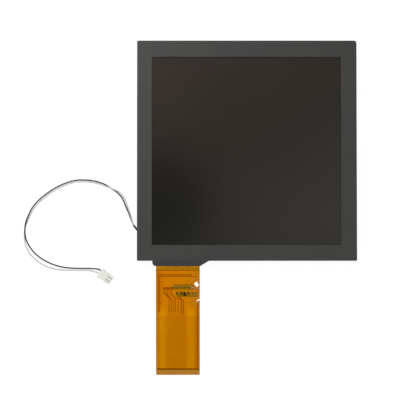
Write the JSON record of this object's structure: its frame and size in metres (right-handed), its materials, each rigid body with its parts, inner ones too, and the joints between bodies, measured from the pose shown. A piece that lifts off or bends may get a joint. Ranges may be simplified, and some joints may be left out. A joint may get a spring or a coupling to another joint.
{
  "type": "tft display module",
  "caption": "Square flat display panel in a dark metal bezel, with an amber flex tail below and a thin two-wire backlight lead ending in a small plug at the left.",
  "frame": {"origin": "middle of the rear chassis's outer face, on the surface the module lies on", "axes": "+Z towards the viewer of the display, +Y towards the display's top edge, flex tail towards -Y, lead towards -X"},
  "size_m": [0.1947, 0.1952, 0.006],
  "materials": {
    "coated_steel": "matt grey-black baked coat on pressed steel",
    "foam": "closed-cell foam",
    "polarizer_film": "dark film with an anti-glare face",
    "glass": "thin flat glass",
    "silicon": "bare die",
    "black_tape": "matt black polyester tape",
    "optical_film": "translucent white film",
    "acrylic": "polished sheet",
    "white_polycarbonate": "moulded, satin",
    "strip_board": "white solder mask",
    "led_body": "moulded with yellow phosphor window",
    "solder": "bright solder",
    "galvanised_steel": "galvanised sheet, satin",
    "polyimide_flex": "amber film over copper",
    "polyimide_stiffener": "amber board",
    "gold_contact": "gold plate",
    "ceramic_chip": "ceramic with tinned ends",
    "resistor_chip": "black glaze with tinned ends",
    "diode_body": "moulded epoxy",
    "shrink_sleeve": "polyolefin",
    "black_insulation": "extruded vinyl",
    "white_insulation": "extruded vinyl",
    "nylon": "moulded, natural",
    "tinned_contact": "tin plate"
  },
  "bodies": {
    "root": {"front_bezel": "coated_steel", "bezel_gasket": "foam", "front_polarizer": "polarizer_film", "color_filter_glass": "glass", "tft_glass": "glass", "driver_chips": "silicon", "rear_polarizer": "polarizer_film", "rim_tape": "black_tape", "top_diffuser": "optical_film", "prism_sheet_upper": "optical_film", "prism_sheet_lower": "optical_film", "bottom_diffuser": "optical_film", "light_guide_plate": "acrylic", "reflector_sheet": "optical_film", "mold_frame": "white_polycarbonate", "led_strip_board": "strip_board", "leds": "led_body", "solder_joints": "solder", "rear_chassis": "galvanised_steel", "root_tape": "black_tape", "flex_circuit": "polyimide_flex", "contact_stiffener": "polyimide_stiffener", "part_stiffener": "polyimide_stiffener", "contact_fingers": "gold_contact", "flex_capacitors": "ceramic_chip", "flex_resistors": "resistor_chip", "flex_diode": "diode_body", "lead_sleeve": "shrink_sleeve", "wire_black": "black_insulation", "wire_white": "white_insulation", "plug_housing": "nylon", "plug_contacts": "tinned_contact"}
  },
  "joints": []
}
